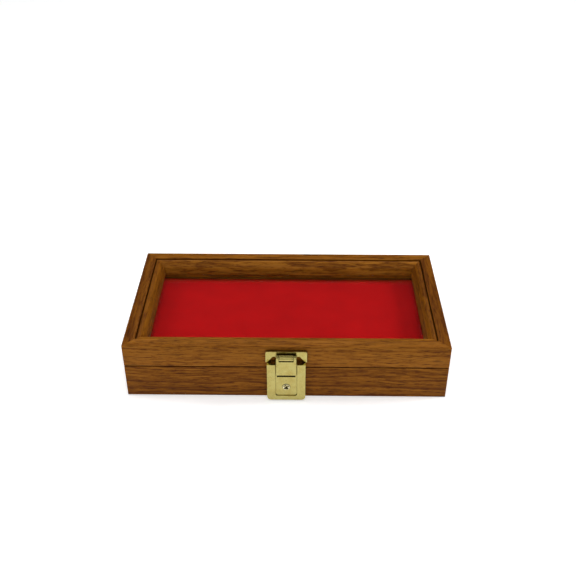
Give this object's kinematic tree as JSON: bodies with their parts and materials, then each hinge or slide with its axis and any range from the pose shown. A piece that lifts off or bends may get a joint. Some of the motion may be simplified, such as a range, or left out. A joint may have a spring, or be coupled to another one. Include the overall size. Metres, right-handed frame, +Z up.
{
  "type": "coin display tray",
  "caption": "Small wooden display case with a hinged glass lid, a padded red insert for coins and a hasp lock on its front.",
  "frame": {"origin": "middle of the case's underside, leaving out the lock in front and the hinges behind", "axes": "+X along the front to the right, +Y from the lock to the hinges, +Z up"},
  "size_m": [0.21, 0.1175, 0.0413],
  "materials": {
    "oak": "satin",
    "panel_wood": "matte",
    "hardboard": "matte",
    "foam": "matte",
    "velvet": "matte",
    "glass": "gloss",
    "brass": "satin",
    "steel": "satin"
  },
  "bodies": {
    "base": {"base_front_rail": "oak", "base_back_rail": "oak", "base_left_rail": "oak", "base_right_rail": "oak", "bottom_panel": "panel_wood", "bottom_panel_brads": "steel", "pad_board": "hardboard", "pad_foam": "foam", "pad_cover": "velvet", "hinge_left_base_leaf": "brass", "hinge_right_base_leaf": "brass", "hinge_left_pin": "brass", "hinge_right_pin": "brass", "base_hinge_screws": "brass", "lock_case": "brass", "lock_back_plate": "steel", "lock_screws": "steel", "catch_spring": "steel"},
    "lid": {"lid_front_rail": "oak", "lid_back_rail": "oak", "lid_left_rail": "oak", "lid_right_rail": "oak", "glass_pane": "glass", "glass_bead_front": "oak", "glass_bead_back": "oak", "glass_bead_left": "oak", "glass_bead_right": "oak", "glass_bead_brads": "steel", "hinge_left_lid_leaf": "brass", "hinge_right_lid_leaf": "brass", "lid_hinge_screws": "brass", "hasp_plate": "brass", "hasp_pin": "brass"},
    "hasp": {"hasp": "brass", "hasp_staple": "steel"},
    "plug": {"key_plug": "brass"},
    "bolt": {"lock_bolt": "steel"}
  },
  "joints": [
    {"name": "lid_swing", "type": "hinge", "parent": "base", "child": "lid", "pos_m": [0, 0.0543, 0.0247], "axis": [-1, 0, 0], "range_deg": [0, 100]},
    {"name": "hasp_swing", "type": "hinge", "parent": "lid", "child": "hasp", "pos_m": [0, -0.05945, 0.0354], "axis": [-1, 0, 0], "range_deg": [0, 175]},
    {"name": "plug_turn", "type": "hinge", "parent": "base", "child": "plug", "pos_m": [0, -0.0555, 0.0116], "axis": [0, 1, 0], "range_deg": [0, 90]},
    {"name": "bolt_slide", "type": "slide", "parent": "base", "child": "bolt", "axis": [1, 0, 0], "range_m": [0, 0.00335]}
  ],
  "couplings": [
    {"joint": "plug_turn", "follows": "bolt_slide", "rad_per_m": 468.7}
  ]
}
